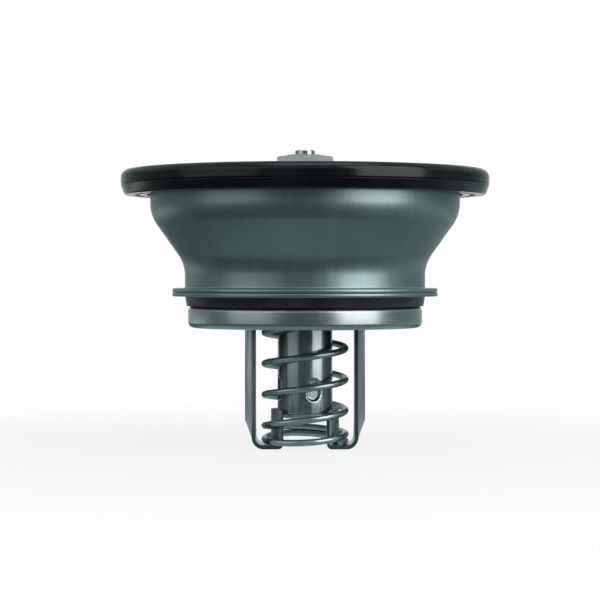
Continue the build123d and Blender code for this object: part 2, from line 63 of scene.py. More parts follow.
camera_data.clip_end = 20.0
camera = bpy.data.objects.new("studio_camera", camera_data)
camera.location = (camera_side, -camera_distance, camera_height)
camera.rotation_euler = (math.radians(90), 0, 0)
bpy.context.collection.objects.link(camera)
bpy.context.scene.camera = camera
bpy.context.scene.view_settings.view_transform = "Standard"

# Studio: a white room. What the metal mirrors is the same room with a dark side towards the
# camera, dim flanks, a nearly white far side and a grey ceiling.


def add_node(tree, kind, values=(), **settings):
    """Adds a node. values are what its inputs get: a number, a colour or an output to link."""
    node = tree.nodes.new(kind)
    for key, value in settings.items():
        setattr(node, key, value)
    for key, value in dict(values).items():
        if isinstance(value, bpy.types.NodeSocket):
            tree.links.new(value, node.inputs[key])
        else:
            node.inputs[key].default_value = value
    return node


def smooth_range(tree, value, start, end, low, high):
    """Eases from low to high while the value goes from start to end."""
    values = {"Value": value, "From Min": start, "From Max": end, "To Min": low, "To Max": high}
    eased = add_node(tree, "ShaderNodeMapRange", values, interpolation_type="SMOOTHSTEP")
    return eased.outputs["Result"]


def light_ramp(tree, factor, stops):
    """Eases through light of several colours, given as (place, colour)."""
    ramp = add_node(tree, "ShaderNodeValToRGB", {"Fac": factor})
    ramp.color_ramp.interpolation = "EASE"
    elements = ramp.color_ramp.elements
    while len(elements) < len(stops):
        elements.new(0.5)
    for element, (place, colour) in zip(elements, stops):
        element.position = place
        element.color = (*colour, 1)
    return ramp.outputs["Color"]


def mix_shaders(tree, factor, first, second):
    values = {"Fac": factor, 1: first.outputs[0], 2: second.outputs[0]}
    return add_node(tree, "ShaderNodeMixShader", values)


# How much red is left in the darkest wall, beside its green and blue.
wall_red = 0.72
ceiling_colour = (0.38, 0.44, 0.44, 1)
# Degrees from the camera's own direction, to either side, and how bright the room is there.
room_sides = [
    (0, 0.10),
    (24, 0.11),
    (50, 0.18),
    (90, 0.17),
    (118, 0.19),
    (140, 0.27),
    (158, 0.46),
    (172, 0.88),
    (180, 0.92),
]
room_places = [(degrees / 360, light) for degrees, light in room_sides]
room_places += [(1 - degrees / 360, light) for degrees, light in reversed(room_sides[:-1])]
room_stops = [
    (place, (light * (wall_red + (1 - wall_red) * light), light, light)) for place, light in room_places
]
world = bpy.data.worlds.new("studio")
bpy.context.scene.world = world
world.use_nodes = True
sky = world.node_tree
sky.nodes.clear()
room_direction = add_node(sky, "ShaderNodeTexCoord").outputs["Generated"]
room_parts = add_node(sky, "ShaderNodeSeparateXYZ", {0: room_direction})
room_turn = add_node(
    sky,
    "ShaderNodeMath",
    {0: room_parts.outputs["X"], 1: room_parts.outputs["Y"]},
    operation="ARCTAN2",
)
room_share = add_node(
    sky,
    "ShaderNodeMapRange",
    {"Value": room_turn.outputs[0], "From Min": -math.pi, "From Max": math.pi},
)
room_walls = light_ramp(sky, room_share.outputs["Result"], room_stops)
room_ceiling = smooth_range(sky, room_parts.outputs["Z"], start=0.12, end=0.50, low=0.0, high=1.0)
room_blend = add_node(
    sky,
    "ShaderNodeMix",
    {"Factor": room_ceiling, "A": room_walls, "B": ceiling_colour},
    data_type="RGBA",
)
lit_room = add_node(
    sky, "ShaderNodeBackground", {"Color": room_blend.outputs["Result"], "Strength": 1.0}
)
white_room = add_node(sky, "ShaderNodeBackground", {"Color": (1, 1, 1, 1), "Strength": 1.0})
room_seen = add_node(sky, "ShaderNodeLightPath").outputs["Is Camera Ray"]
room_mix = mix_shaders(sky, room_seen, lit_room, white_room)
add_node(sky, "ShaderNodeOutputWorld", {"Surface": room_mix.outputs[0]})

# Lamps: a broad softbox to the right of the camera, a weaker one to its left, a soft light
# from above, and a low strip behind on the left that picks out the legs. Each is set by its
# turn from the camera's direction, its rise and its size, and faces the object's middle.
middle_height = 0.05


def add_softbox(name, turn, rise, distance, size, brightness):
    """brightness is that of the softbox's face, where 1 is white."""
    lamp_data = bpy.data.lights.new(name, "AREA")
    lamp_data.shape = "RECTANGLE"
    lamp_data.size, lamp_data.size_y = size
    lamp_data.energy = brightness * math.pi * size[0] * size[1]
    lamp = bpy.data.objects.new(name, lamp_data)
    turn, rise = math.radians(turn), math.radians(rise)
    level = distance * math.cos(rise)
    height = distance * math.sin(rise) + middle_height
    lamp.location = (level * math.sin(turn), -level * math.cos(turn), height)
    towards = Vector((0, 0, middle_height)) - lamp.location
    lamp.rotation_euler = towards.to_track_quat("-Z", "Y").to_euler()
    lamp.visible_camera = False
    bpy.context.collection.objects.link(lamp)


add_softbox("key_softbox", turn=53, rise=20, distance=0.95, size=(0.80, 0.95), brightness=2.0)
add_softbox("left_softbox", turn=-53, rise=18, distance=0.95, size=(0.90, 0.80), brightness=0.43)
add_softbox("top_softbox", turn=20, rise=75, distance=1.0, size=(0.8, 0.6), brightness=1.2)
add_softbox("leg_strip_light", turn=-122, rise=-7, distance=0.30, size=(0.17, 0.032), brightness=0.5)

# Floor: a round white table just under the feet, which keeps a faint shadow near the object
# and runs out into the white room. The metal mirrors it as a dim grey table, and from below
# it can be seen through.


def product(tree, first, second):
    return add_node(tree, "ShaderNodeMath", {0: first, 1: second}, operation="MULTIPLY").outputs[0]


mm = 0.001
floor_radius = 0.45
floor_level = -0.02 * mm
bpy.ops.object.select_all(action="DESELECT")
bpy.ops.mesh.primitive_circle_add(
    vertices=128, radius=floor_radius, fill_type="TRIFAN", location=(0, 0, floor_level)
)
floor = bpy.context.object
floor.name = "studio_floor"
table_red = 0.76
# How far from the axis in metres, and how bright the mirrored table is there.
paper_rings = [
    (0.065, 0.28),
    (0.10, 0.09),
    (0.20, 0.085),
    (0.32, 0.15),
]
paper_stops = [(reach, (light * table_red, light, light)) for reach, light in paper_rings]
floor_paint = bpy.data.materials.new("floor_paper")
floor_paint.use_nodes = True
paper = floor_paint.node_tree
paper.nodes.clear()
paper_place = add_node(paper, "ShaderNodeTexCoord").outputs["Object"]
paper_parts = add_node(paper, "ShaderNodeSeparateXYZ", {0: paper_place})
paper_length = add_node(paper, "ShaderNodeVectorMath", {0: paper_place}, operation="LENGTH")
paper_reach = paper_length.outputs["Value"]
paper_path = add_node(paper, "ShaderNodeLightPath")
# Near the object some of the matt paper is seen, which holds the shadow.
paper_share = smooth_range(paper, paper_reach, start=0.08, end=0.25, low=0.84, high=1.0)
paper_seen = product(paper, paper_path.outputs["Is Camera Ray"], paper_share)
paper_matt = add_node(paper, "ShaderNodeBsdfDiffuse", {"Color": (0.85, 0.85, 0.85, 1)})
paper_white = add_node(paper, "ShaderNodeEmission", {"Color": (1, 1, 1, 1)})
paper_mix = mix_shaders(paper, paper_seen, paper_matt, paper_white)
# The mirrored table is brighter behind the object and to its right.
paper_far = smooth_range(paper, paper_parts.outputs["Y"], start=-0.05, end=0.03, low=1.0, high=1.5)
paper_right = smooth_range(paper, paper_parts.outputs["X"], start=0.05, end=0.16, low=1.0, high=2.0)
paper_colour = light_ramp(paper, paper_reach, paper_stops)
paper_strength = product(paper, paper_far, paper_right)
paper_mirrored = add_node(
    paper, "ShaderNodeEmission", {"Color": paper_colour, "Strength": paper_strength}
)
paper_top = mix_shaders(paper, paper_path.outputs["Is Glossy Ray"], paper_mix, paper_mirrored)
paper_under = add_node(paper, "ShaderNodeNewGeometry").outputs["Backfacing"]
paper_clear = add_node(paper, "ShaderNodeBsdfTransparent")
paper_sides = mix_shaders(paper, paper_under, paper_top, paper_clear)
add_node(paper, "ShaderNodeOutputMaterial", {"Surface": paper_sides.outputs[0]})
floor.data.materials.append(floor_paint)

# Housing: one deep-drawn steel bell, with the mounting flange above and the small neck
# flange below. Drawing leaves fine upright streaks on the cone, and the sheet is satin grey.
# Places nearer than same_place are one, and each facet of a bend turns by facet_degrees.
same_place = 0.0001 * mm
facet_degrees = 6


def start_point(name, place):
    """A new mesh of one point, left selected in edit mode."""
    bpy.ops.object.select_all(action="DESELECT")
    bpy.ops.mesh.primitive_plane_add(size=mm)
    piece = bpy.context.object
    piece.name = name
    piece.data.name = name
    bpy.ops.object.mode_set(mode="EDIT")
    bpy.ops.mesh.select_mode(type="VERT")
    bpy.ops.mesh.select_all(action="SELECT")
    bpy.ops.mesh.merge(type="CENTER")
    bpy.ops.transform.translate(value=place)
    return piece


def pick_vertices(piece, wanted):
    """Selects the vertices whose place passes the test, in edit mode."""
    bpy.ops.mesh.select_all(action="DESELECT")
    bpy.ops.object.mode_set(mode="OBJECT")
    for vertex in piece.data.vertices:
        vertex.select = bool(wanted(vertex.co))
    bpy.ops.object.mode_set(mode="EDIT")


def near(co, corner):
    return math.hypot(co.x - corner[0], co.z - corner[1]) < same_place


def bent_line(name, corners, closed):
    """An outline in the XZ plane, whose corners are (x, z, bend radius)."""
    line = start_point(name, (corners[0][0], 0, corners[0][1]))
    for here, there in zip(corners, corners[1:]):
        step = (there[0] - here[0], 0, there[1] - here[1])
        bpy.ops.mesh.extrude_vertices_move(TRANSFORM_OT_translate={"value": step})
    if closed:
        pick_vertices(line, lambda co: any(near(co, corners[end]) for end in (0, -1)))
        bpy.ops.mesh.edge_face_add()
    for number, corner in enumerate(corners):
        if corner[2]:
            before = corners[number - 1]
            after = corners[(number + 1) % len(corners)]
            arriving = math.atan2(corner[1] - before[1], corner[0] - before[0])
            leaving = math.atan2(after[1] - corner[1], after[0] - corner[0])
            turn = abs((leaving - arriving + math.pi) % (2 * math.pi) - math.pi)
            pick_vertices(line, lambda co: near(co, corner))
            bpy.ops.mesh.bevel(
                offset=corner[2] * math.tan(turn / 2),
                segments=max(3, round(math.degrees(turn) / facet_degrees)),
                profile=0.5,
                affect="VERTICES",
            )
    bpy.ops.mesh.select_all(action="SELECT")
    return line


def spin_outline(piece, steps=192, sharp=40):
    """Turns the selected outline once round the axis and leaves edit mode."""
    bpy.ops.mesh.spin(steps=steps, angle=2 * math.pi, center=(0, 0, 0), axis=(0, 0, 1))
    close_seams(piece, sharp)


def close_seams(piece, sharp=40):
    """Merges what meets, turns the faces outwards and leaves edit mode."""
    bpy.ops.mesh.select_all(action="SELECT")
    bpy.ops.mesh.remove_doubles(threshold=same_place)
    bpy.ops.mesh.normals_make_consistent(inside=False)
    bpy.ops.object.mode_set(mode="OBJECT")
    bpy.ops.object.shade_smooth_by_angle(angle=math.radians(sharp))


def add_modifier(piece, kind, **values):
    """Adds a modifier with these values and applies it."""
    modifier = piece.modifiers.new(kind.lower(), kind)
    for key, value in values.items():
        setattr(modifier, key, value)
    bpy.context.view_layer.objects.active = piece
    bpy.ops.object.modifier_apply(modifier=modifier.name)


def thicken(piece, thickness, edge_round, sharp=40):
    """Gives a sheet its thickness and breaks its cut edges, which take its second material."""
    add_modifier(
        piece, "SOLIDIFY", thickness=thickness, offset=0.0, use_even_offset=True, material_offset_rim=1
    )
    cut_angle = math.radians(50)
    add_modifier(
        piece, "BEVEL", width=edge_round, segments=3, limit_method="ANGLE", angle_limit=cut_angle
    )
    bpy.ops.object.shade_smooth_by_angle(angle=math.radians(sharp))


def new_material(name):
    material = bpy.data.materials.new(name)
    material.use_nodes = True
    tree = material.node_tree
    return material, tree, tree.nodes["Principled BSDF"]


def round_the_axis(tree, across, along):
    """A place on a turned piece: across counts round the axis and along counts up it."""
    place = add_node(tree, "ShaderNodeTexCoord").outputs["Object"]
    flat = add_node(tree, "ShaderNodeVectorMath", {0: place, 1: (1, 1, 0)}, operation="MULTIPLY")
    unit = add_node(tree, "ShaderNodeVectorMath", {0: flat.outputs[0]}, operation="NORMALIZE")
    ring = add_node(tree, "ShaderNodeVectorMath", {0: unit.outputs[0], 3: across}, operation="SCALE")
    height = add_node(tree, "ShaderNodeVectorMath", {0: place, 1: (0, 0, along)}, operation="MULTIPLY")
    values = {0: ring.outputs[0], 1: height.outputs[0]}
    return add_node(tree, "ShaderNodeVectorMath", values, operation="ADD").outputs[0]


def plain_place(tree, scale):
    """A place on any piece, stretched by scale along X, Y and Z."""
    place = add_node(tree, "ShaderNodeTexCoord").outputs["Object"]
    values = {0: place, 1: scale}
    return add_node(tree, "ShaderNodeVectorMath", values, operation="MULTIPLY").outputs[0]


def noise_on(tree, place, detail=3.0, roughness=0.55):
    values = {"Vector": place, "Scale": 1.0, "Detail": detail, "Roughness": roughness}
    return add_node(tree, "ShaderNodeTexNoise", values).outputs["Fac"]


def ramp_between(tree, factor, low, high, start=0.35, end=0.65):
    """Colours or grey levels between two values, over a stretch of the factor."""
    blend = add_node(tree, "ShaderNodeValToRGB", {"Fac": factor})
    for element, place, value in zip(blend.color_ramp.elements, (start, end), (low, high)):
        element.position = place
        element.color = (*value, 1) if isinstance(value, tuple) else (value, value, value, 1)
    return blend.outputs["Color"]


def add_gloss(tree, shader, pattern, gloss):
    """Lets a pattern take the roughness from the lower to the higher value of gloss."""
    low, high = gloss
    dulled = ramp_between(tree, pattern, low, high, start=0.3, end=0.7)
    tree.links.new(dulled, shader.inputs["Roughness"])


def add_tooth(tree, shader, height, strength, depth):
    """Roughens a surface by a pattern of this depth in metres."""
    values = {"Height": height, "Strength": strength, "Distance": depth}
    tree.links.new(add_node(tree, "ShaderNodeBump", values).outputs[0], shader.inputs["Normal"])


def worn_steel(name, dark, light, roughness, streaks, tooth, turned=True, top_shade=None):
    """Worked metal: streaks, cloudy patches, and a fine tooth in the gloss. On a turned piece
    streaks says how fine they are round and along the axis, and otherwise along X, Y and Z.
    top_shade gives the two levels between which painted shade darkens it upwards."""
    cloud_scale = 60
    cloud_share = 0.45
    top_shade_light = 0.45
    tooth_strength = 0.35
    material, tree, shader = new_material(name)
    shader.inputs["Metallic"].default_value = 1.0
    if turned:
        streak_place = round_the_axis(tree, streaks[0], streaks[1])
    else:
        streak_place = plain_place(tree, streaks)
    streak = noise_on(tree, streak_place, detail=4.0, roughness=0.6)
    cloud = noise_on(tree, plain_place(tree, (cloud_scale, cloud_scale, cloud_scale)))
    blend = add_node(tree, "ShaderNodeMix", {0: cloud_share, 2: streak, 3: cloud}, data_type="FLOAT")
    colour = ramp_between(tree, blend.outputs[0], dark, light)
    # Painted shade: the colour darkens upwards between the two given levels.
    if top_shade:
        parts = add_node(tree, "ShaderNodeSeparateXYZ", {0: plain_place(tree, (1, 1, 1))})
        painted_top_shade = smooth_range(tree, parts.outputs["Z"], top_shade[0], top_shade[1], 1.0, top_shade_light)
        values = {0: colour, "Scale": painted_top_shade}
        colour = add_node(tree, "ShaderNodeVectorMath", values, operation="SCALE").outputs[0]
    tree.links.new(colour, shader.inputs["Base Color"])
    add_gloss(tree, shader, streak, roughness)
    add_tooth(tree, shader, streak, tooth_strength, tooth)
    return material


housing_steel = worn_steel(
    "housing_steel",
    dark=(0.29, 0.375, 0.375),
    light=(0.37, 0.455, 0.455),
    roughness=(0.34, 0.42),
    streaks=(60, 9),
    tooth=0.000016,
)
sheet = 1.2 * mm
neck_middle = 35.3 * mm
wall_middle = 45.65 * mm
neck_flange_edge = 39.6 * mm
flange_edge = 53.0 * mm
cone_foot_rise = 8.0 * mm
cone_rise = 14.55 * mm
rim_round = 0.4 * mm
bell_low, bell_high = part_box("bell_housing")
flange_level = bell_high.z - sheet / 2
neck_level = bell_low.z + sheet / 2
cone_foot = neck_level + cone_foot_rise
shoulder = cone_foot + cone_rise
bell = bent_line(
    "bell",
    [
        (neck_flange_edge, neck_level, 0),
        (neck_middle, neck_level, 1.2 * mm),
        (neck_middle, cone_foot, 10.6 * mm),
        (wall_middle, shoulder, 9.4 * mm),
        (wall_middle, flange_level, 1.6 * mm),
        (flange_edge, flange_level, 0),
    ],
    closed=False,
)
spin_outline(bell, steps=256)
thicken(bell, sheet, rim_round)
bell.data.materials.append(housing_steel)
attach(bell, "housing")
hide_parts("bell_housing")

# Flange ring: a black rubber moulding of U section that grips the housing's flange.
# A fine parting line runs round it, and its lower half tapers in below that line.


def black_rubber(name, colour, gloss, grain):
    """Moulded rubber: nearly black, a little cloudy in its gloss, with a fine grain."""
    cloud_scale = 90
    grain_scale = 1400
    grain_strength = 0.25
    rubber_specular = 0.4
    cloud_gain = 1.9
    cloud_least = 0.004
    material, tree, shader = new_material(name)
    cloud = noise_on(tree, plain_place(tree, (cloud_scale, cloud_scale, cloud_scale)), detail=4.0)
    dust = noise_on(tree, plain_place(tree, (grain_scale, grain_scale, grain_scale)), detail=2.0)
    pale = tuple(min(1.0, c * cloud_gain + cloud_least) for c in colour)
    tree.links.new(ramp_between(tree, cloud, colour, pale), shader.inputs["Base Color"])
    add_gloss(tree, shader, cloud, gloss)
    add_tooth(tree, shader, dust, grain_strength, grain)
    shader.inputs["Specular IOR Level"].default_value = rubber_specular
    return material


rubber_grain = 0.01 * mm
flange_rubber = black_rubber("flange_rubber", (0.0008, 0.002, 0.003), (0.15, 0.24), rubber_grain)
ring_low, ring_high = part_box("flange_gasket")
ring_edge = ring_high.x
ring_grip = 5.55 * mm
ring_inside = flange_edge - ring_grip
ring_taper = 1.1 * mm
parting = flange_level - sheet / 2
parting_width = 0.22 * mm
parting_depth = 0.28 * mm
groove_middle = (ring_inside + flange_edge) / 2
groove_half = 0.8 * mm
groove_depth = 0.45 * mm
pocket_half = sheet / 2
pocket_end = flange_edge + 0.02 * mm
flange_ring = bent_line(
    "flange_ring",
    [
        (ring_inside, ring_low.z, 0.25 * mm),
        (groove_middle - groove_half, ring_low.z, 0.1 * mm),
        (groove_middle - groove_half, ring_low.z + groove_depth, 0.1 * mm),
        (groove_middle + groove_half, ring_low.z + groove_depth, 0.1 * mm),
        (groove_middle + groove_half, ring_low.z, 0.1 * mm),
        (ring_edge - ring_taper, ring_low.z, 0.8 * mm),
        (ring_edge, parting - parting_width, 0.15 * mm),
        (ring_edge - parting_depth, parting, 0),
        (ring_edge, parting + parting_width, 0.15 * mm),
        (ring_edge, ring_high.z, 2.4 * mm),
        (groove_middle + groove_half, ring_high.z, 0.1 * mm),
        (groove_middle + groove_half, ring_high.z - groove_depth, 0.1 * mm),
        (groove_middle - groove_half, ring_high.z - groove_depth, 0.1 * mm),
        (groove_middle - groove_half, ring_high.z, 0.1 * mm),
        (ring_inside, ring_high.z, 0.5 * mm),
        (ring_inside, flange_level + pocket_half, 0),
        (pocket_end, flange_level + pocket_half, 0),
        (pocket_end, flange_level - pocket_half, 0),
        (ring_inside, flange_level - pocket_half, 0),
    ],
    closed=True,
)
spin_outline(flange_ring, steps=256)
flange_ring.data.materials.append(flange_rubber)
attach(flange_ring, "housing")
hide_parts("flange_gasket")

# Seal carrier: a flat steel ring with rounded edges, clamped under the neck flange.
# The dark rubber lip bonded into it hangs down round the sleeve.
carrier_low, carrier_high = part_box("seal_carrier")
carrier_edge = carrier_high.x
carrier_width = 3.3 * mm
carrier_inside = carrier_edge - carrier_width
carrier_round = 0.5 * mm
carrier = bent_line(
    "carrier",
    [
        (carrier_inside, carrier_low.z, 0.1 * mm),
        (carrier_edge, carrier_low.z, carrier_round),
        (carrier_edge, carrier_high.z, carrier_round),
        (carrier_inside, carrier_high.z, 0.1 * mm),
    ],
    closed=True,
)
spin_outline(carrier)
carrier.data.materials.append(housing_steel)
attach(carrier, "housing")
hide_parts("seal_carrier")

lip_rubber = black_rubber("lip_rubber", (0.012, 0.016, 0.017), (0.30, 0.42), rubber_grain)
lip_low, lip_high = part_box("lip_seal")
tube_radius = 34.2 * mm
lip_gap = 0.3 * mm
lip_thickness = 1.4 * mm
lip_inside = tube_radius + lip_gap
lip_outside = lip_inside + lip_thickness
lip_taper = 0.5 * mm
lip_relief = 0.35 * mm
lip_edge = 1.0 * mm
lip = bent_line(
    "lip",
    [
        (lip_inside, lip_low.z, 0.15 * mm),
        (lip_outside - lip_taper, lip_low.z, 0.35 * mm),
        (lip_outside, carrier_low.z, 0.2 * mm),
        (carrier_inside, carrier_low.z, 0),
        (carrier_inside, lip_high.z, 0),
        (lip_inside + lip_relief, lip_high.z, 0),
        (lip_inside + lip_relief, carrier_low.z, 0.2 * mm),
        (lip_inside, carrier_low.z - lip_edge, 0.2 * mm),
    ],
    closed=True,
)
spin_outline(lip)
lip.data.materials.append(lip_rubber)
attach(lip, "housing")
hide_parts("lip_seal")

# Bridge: a stamped steel strap over the mouth of the bell, a little crowned across, with a
# shallow boss round the pin. Its ends turn down inside the wall, where they are welded.
bridge_steel = worn_steel(
    "bridge_steel",
    dark=(0.34, 0.395, 0.395),
    light=(0.42, 0.475, 0.475),
    roughness=(0.28, 0.38),
    streaks=(260, 260, 40),
    tooth=0.000006,
    turned=False,
)
# How far a point may lie from the row that it belongs to.
row_slack = 0.001 * mm


def next_row(step=(0, 0, 0)):
    """Extrudes the selected edges by a step, which leaves the new row selected."""
    bpy.ops.mesh.extrude_edges_move(TRANSFORM_OT_translate={"value": step})


def pick_edges(piece, wanted):
    """Selects the edges both of whose ends pass the test, in edit mode."""
    bpy.ops.mesh.select_mode(type="EDGE")
    bpy.ops.mesh.select_all(action="DESELECT")
    bpy.ops.object.mode_set(mode="OBJECT")
    points = piece.data.vertices
    for edge in piece.data.edges:
        edge.select = all(wanted(points[end].co) for end in edge.vertices)
    bpy.ops.object.mode_set(mode="EDIT")


def curved_tab(piece, radius, start, end, end_row, round_by):
    """Draws a strap's end row out to a circle round the axis and turns it up or down there,
    from the level start to the level end, with a rounded bend."""
    pick_edges(piece, end_row)
    row = [vertex.co.copy() for vertex in piece.data.vertices if end_row(vertex.co)]
    next_row((radius - row[0].x, 0, start - row[0].z))
    bpy.ops.mesh.select_mode(type="VERT")
    for place in row:
        drawn = Vector((radius, place.y, start))
        pick_vertices(piece, lambda co: (co - drawn).length < row_slack)
        bpy.ops.transform.translate(value=(math.sqrt(radius**2 - place.y**2) - radius, 0, 0))

    def on_circle(co):
        return abs(co.z - start) < row_slack and abs(math.hypot(co.x, co.y) - radius) < row_slack

    pick_edges(piece, on_circle)
    next_row((0, 0, end - start))
    pick_edges(piece, on_circle)
    bpy.ops.mesh.bevel(offset=round_by, segments=5, profile=0.5, affect="EDGES")


def strap_strip(name, corners, width, rows):
    """A bent strip: its line in the XZ plane, drawn out along Y in equal rows."""
    strip = bent_line(name, corners, closed=False)
    for row in range(rows):
        next_row((0, width / rows, 0))
    bpy.ops.mesh.select_all(action="SELECT")
    bpy.ops.transform.translate(value=(0, -width / 2, 0))
    return strip


bridge_low, bridge_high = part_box("bridge")
bridge_sheet = 1.5 * mm
bridge_width = 16.6 * mm
boss_rise = 0.4 * mm
crown_level = bridge_high.z - boss_rise - bridge_sheet / 2
tab_outer = 45.0 * mm
tab_middle = tab_outer - bridge_sheet / 2
tab_bend = 0.9 * mm
bridge_flat = 7 * mm
bridge_bend = 9 * mm
bridge_rows = 12
bridge_crown = 0.45 * mm
bridge_round = 0.6 * mm
boss_hole = 2.9 * mm
boss_foot = 6.4 * mm
boss_top = 4.8 * mm
slope_end = 41.8 * mm
slope_fall = (crown_level - flange_level) * (slope_end - bridge_flat) / (tab_middle - bridge_flat)
bridge = strap_strip(
    "bridge_strap",
    [
        (0, crown_level, 0),
        (bridge_flat, crown_level, bridge_bend),
        (slope_end, crown_level - slope_fall, 0),
    ],
    bridge_width,
    bridge_rows,
)


def at_slope_end(co):
    return co.x > slope_end - row_slack


for row in range(bridge_rows + 1):
    side = 2 * row / bridge_rows - 1
    row_place = side * bridge_width / 2
    pick_vertices(bridge, lambda co: abs(co.y - row_place) < same_place and not at_slope_end(co))
    bpy.ops.transform.translate(value=(0, 0, -bridge_crown * side**2))
curved_tab(bridge, tab_middle, flange_level, bridge_low.z, at_slope_end, tab_bend)
close_seams(bridge)
add_modifier(bridge, "MIRROR", use_axis=(True, False, False))
bpy.ops.object.mode_set(mode="EDIT")
bpy.ops.mesh.select_all(action="SELECT")
bpy.ops.transform.rotate(value=math.pi / 2, orient_axis="Z", center_override=(0, 0, 0))
close_seams(bridge)
thicken(bridge, bridge_sheet, bridge_round)
bridge.data.materials.append(bridge_steel)
boss = bent_line(
    "bridge_boss",
    [
        (boss_hole, crown_level, 0),
        (boss_foot, crown_level, 0),
        (boss_foot, crown_level + bridge_sheet / 2, 0),
        (boss_top, bridge_high.z, 0.8 * mm),
        (boss_hole, bridge_high.z, 0.1 * mm),
    ],
    closed=True,
)
spin_outline(boss, steps=96)
boss.data.materials.append(bridge_steel)
bpy.ops.object.select_all(action="DESELECT")
boss.select_set(True)
bridge.select_set(True)
bpy.context.view_layer.objects.active = bridge
bpy.ops.object.join()
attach(bridge, "housing")
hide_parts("bridge")

# Piston pin: a ground and polished steel pin. Its nub stands above the bridge, it bears on
# the bridge with a shoulder, and its lower end reaches down into the wax element.
pin_steel = worn_steel(
    "pin_steel",
    dark=(0.60, 0.62, 0.62),
    light=(0.74, 0.76, 0.76),
    roughness=(0.10, 0.18),
    streaks=(30, 2500),
    tooth=0.000004,
)
pin_low, pin_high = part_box("piston_pin")
pin_radius = 2.95 * mm
pin_tip = 2.2 * mm
pin_taper = 2 * mm
shoulder_radius = pin_high.x
shoulder_height = 2 * mm
shoulder_top = crown_level - bridge_sheet / 2
shoulder_foot = shoulder_top - shoulder_height
pin = bent_line(
    "pin",
    [
        (0, pin_low.z, 0),
        (pin_tip, pin_low.z, 0.4 * mm),
        (pin_radius, pin_low.z + pin_taper, 0.8 * mm),
        (pin_radius, shoulder_foot, 0.3 * mm),
        (shoulder_radius, shoulder_foot, 0.3 * mm),
        (shoulder_radius, shoulder_top, 0.1 * mm),
        (pin_radius, shoulder_top, 0),
        (pin_radius, pin_high.z, 0.35 * mm),
        (0, pin_high.z, 0),
    ],
    closed=False,
)
spin_outline(pin, steps=96)
pin.data.materials.append(pin_steel)
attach(pin, "housing")
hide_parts("piston_pin")

# Seat plate and rivets: a stamped steel disc that the sleeve closes against, and the four
# steel rivets that hold it to its arms. Both keep the form of their nodes in the frame.
frame_steel = worn_steel(
    "frame_steel",
    dark=(0.50, 0.57, 0.57),
    light=(0.61, 0.67, 0.67),
    roughness=(0.28, 0.38),
    streaks=(260, 260, 40),
    tooth=0.000006,
    turned=False,
)


def dressed_copy(node, name, material, body):
    """A copy of a frame node with a material of its own, its loose triangles merged and
    shaded smooth."""
    bpy.ops.object.select_all(action="DESELECT")
    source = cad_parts[node]
    piece = source.copy()
    piece.data = source.data.copy()
    piece.name = name
    piece.data.name = name
    piece.parent = None
    piece.matrix_world.identity()
    bpy.context.collection.objects.link(piece)
    piece.select_set(True)
    bpy.context.view_layer.objects.active = piece
    bpy.ops.object.mode_set(mode="EDIT")
    bpy.ops.mesh.select_all(action="SELECT")
    bpy.ops.mesh.remove_doubles(threshold=same_place)
    bpy.ops.object.mode_set(mode="OBJECT")
    bpy.ops.object.shade_smooth_by_angle(angle=math.radians(35))
    piece.data.materials.clear()
    piece.data.materials.append(material)
    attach(piece, body)
    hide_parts(node)


for node in ("seat_plate", "arm_rivets"):
    dressed_copy(node, node + "_steel", frame_steel, "housing")

# Seat arms: two bent straps riveted to the seat plate. Each rises outwards and ends in a
# curved tab that is welded to the inside of the bell's wall.


def turned_copy(piece, name):
    """A copy of a finished piece, turned half round the axis."""
    bpy.ops.object.select_all(action="DESELECT")
    piece.select_set(True)
    bpy.context.view_layer.objects.active = piece
    bpy.ops.object.duplicate()
    copy = bpy.context.object
    copy.name = name
    bpy.ops.object.mode_set(mode="EDIT")
    bpy.ops.mesh.select_all(action="SELECT")
    bpy.ops.transform.rotate(value=math.pi, orient_axis="Z", center_override=(0, 0, 0))
    bpy.ops.object.mode_set(mode="OBJECT")
    return copy


# Cut edges of the legs and arms: rough steel, with painted shade that makes them nearly black.
shaded_cut_edge = worn_steel(
    "shaded_cut_edge",
    dark=(0.07, 0.09, 0.09),
    light=(0.13, 0.16, 0.16),
    roughness=(0.40, 0.55),
    streaks=(900, 900, 200),
    tooth=0.000008,
    turned=False,
)
arm_sheet = 1.5 * mm
arm_width = 14.0 * mm
arm_rows = 10
arm_start = 22.0 * mm
arm_bend = 29.6 * mm
arm_bend_radius = 3 * mm
arm_rise = 4.6 * mm
arm_last_rise = 0.7 * mm
arm_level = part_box("seat_plate")[1].z + arm_sheet / 2
arm_joint = arm_level + arm_rise
arm_slope_end = arm_joint - arm_last_rise
arm_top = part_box("seat_arm_right")[1].z
broken_edge = 0.2 * mm
arm = strap_strip(
    "seat_arm_strip_right",
    [
        (arm_start, arm_level, 0),
        (arm_bend, arm_level, arm_bend_radius),
        (slope_end, arm_slope_end, 0),
    ],
    arm_width,
    arm_rows,
)
curved_tab(arm, tab_middle, arm_joint, arm_top, at_slope_end, tab_bend)
close_seams(arm)
arm.data.materials.append(frame_steel)
arm.data.materials.append(shaded_cut_edge)
thicken(arm, arm_sheet, broken_edge)
other_arm = turned_copy(arm, "seat_arm_strip_left")
for strip, node in ((arm, "seat_arm_right"), (other_arm, "seat_arm_left")):
    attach(strip, "housing")
    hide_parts(node)

# Seat ring: a flat moulding of black rubber, bonded under the seat plate's rim. The sleeve's
# upper edge closes against it.
dressed_copy("seat_ring", "seat_ring_rubber", lip_rubber, "housing")

# Guide bush: a plain bearing of turned brass, pressed into the seat plate. The wax element's
# neck slides in it.
guide_brass = worn_steel(
    "guide_brass",
    dark=(0.62, 0.48, 0.22),
    light=(0.76, 0.62, 0.32),
    roughness=(0.22, 0.34),
    streaks=(20, 3000),
    tooth=0.000006,
)
dressed_copy("guide_bush", "guide_bush_brass", guide_brass, "housing")

# Legs: two strips of sheet steel pressed into a shallow gutter. Each hooks over the seat
# plate, turns in under the spring at its foot and turns up again round the capsule.


def turned_place(radius, turn, height, centre_x=0.0):
    """The place at a turn round an upright axis through X = centre_x."""
    return (centre_x + radius * math.cos(turn), radius * math.sin(turn), height)


